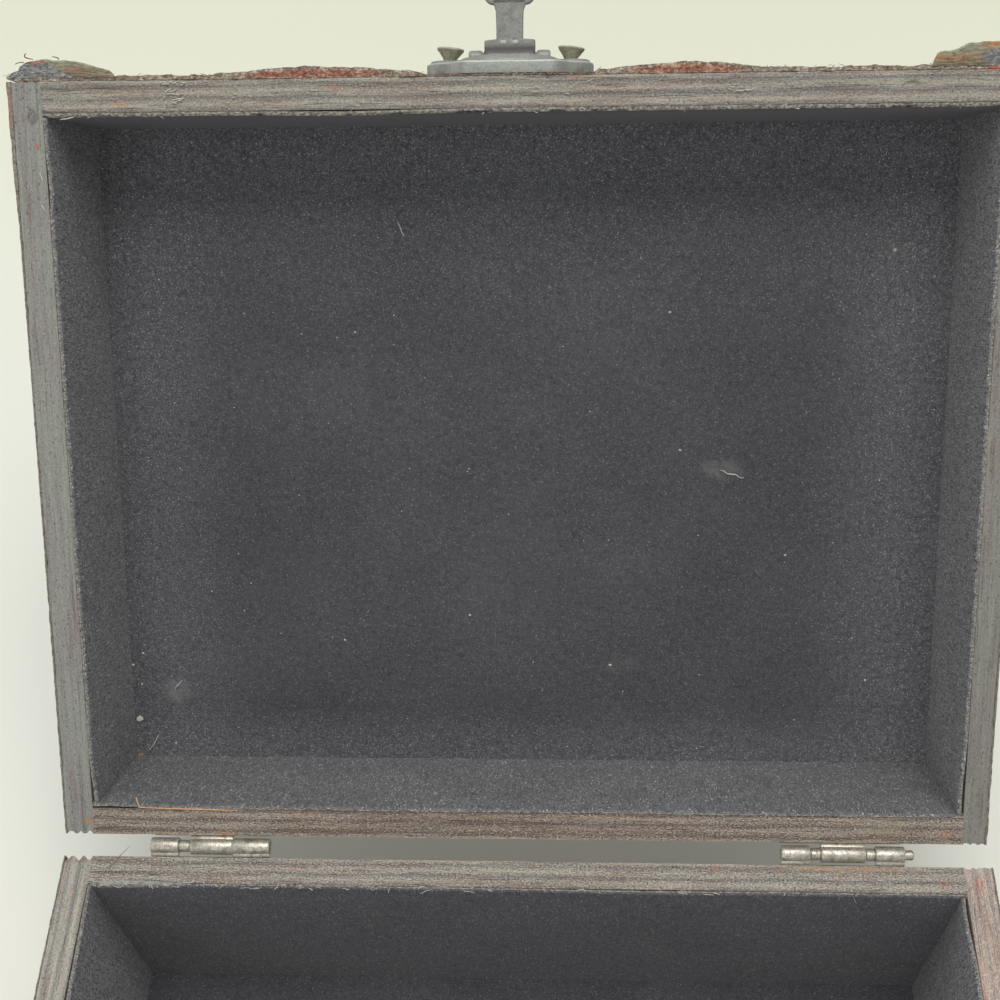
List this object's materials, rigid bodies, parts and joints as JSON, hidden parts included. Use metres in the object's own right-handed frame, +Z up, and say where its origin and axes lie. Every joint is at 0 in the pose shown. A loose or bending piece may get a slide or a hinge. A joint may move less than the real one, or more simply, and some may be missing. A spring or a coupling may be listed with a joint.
{
  "type": "keepsake box",
  "caption": "Rectangular hinged plywood box for papers and keepsakes, covered in tooled leather and lined with black flocked card, with a hasp and staple.",
  "frame": {"origin": "centre of the base's underside, the face the box stands on", "axes": "+X to the right seen from the front, +Y from the front to the hinges, +Z up"},
  "size_m": [0.2, 0.3062, 0.1916],
  "materials": {
    "plywood": "dark stained sawn ply, worn and matt",
    "flock": "black flocked card, matt",
    "leather": "oxblood tooled leather, semi-matt",
    "boss_leather": "layered olive and tan leather, matt",
    "hinge_steel": "worn plated steel",
    "latch_metal": "antique grey cast metal, worn edges"
  },
  "bodies": {
    "base": {"base_floor": "plywood", "base_front_wall": "plywood", "base_rear_wall": "plywood", "base_left_wall": "plywood", "base_right_wall": "plywood", "base_lining_floor": "flock", "base_lining_front": "flock", "base_lining_rear": "flock", "base_lining_left": "flock", "base_lining_right": "flock", "base_front_skin": "leather", "base_left_skin": "leather", "base_right_skin": "leather", "base_left_boss": "boss_leather", "base_right_boss": "boss_leather", "left_hinge_base_leaf": "hinge_steel", "left_hinge_pin": "hinge_steel", "right_hinge_base_leaf": "hinge_steel", "right_hinge_pin": "hinge_steel", "hinge_base_screws": "hinge_steel", "catch_plate": "latch_metal", "catch_staple": "latch_metal", "catch_screws": "latch_metal"},
    "lid": {"lid_top_panel": "plywood", "lid_front_wall": "plywood", "lid_rear_wall": "plywood", "lid_left_wall": "plywood", "lid_right_wall": "plywood", "lid_lining_top": "flock", "lid_lining_front": "flock", "lid_lining_rear": "flock", "lid_lining_left": "flock", "lid_lining_right": "flock", "lid_front_skin": "leather", "lid_left_skin": "leather", "lid_right_skin": "leather", "lid_top_skin": "leather", "lid_left_boss": "boss_leather", "lid_right_boss": "boss_leather", "left_hinge_lid_leaf": "hinge_steel", "right_hinge_lid_leaf": "hinge_steel", "hinge_lid_screws": "hinge_steel", "latch_plate": "latch_metal", "latch_screws": "latch_metal", "hasp_pin": "latch_metal"},
    "hasp": {"hasp": "latch_metal"}
  },
  "joints": [
    {"name": "lid_hinge", "type": "hinge", "parent": "base", "child": "lid", "pos_m": [0, 0.0809, 0.06215], "axis": [-1, 0, 0], "range_deg": [-133, 52]},
    {"name": "hasp_hinge", "type": "hinge", "parent": "lid", "child": "hasp", "pos_m": [-0.0018, 0.19727, 0.17719], "axis": [-1, 0, 0], "range_deg": [-90, 60]}
  ]
}
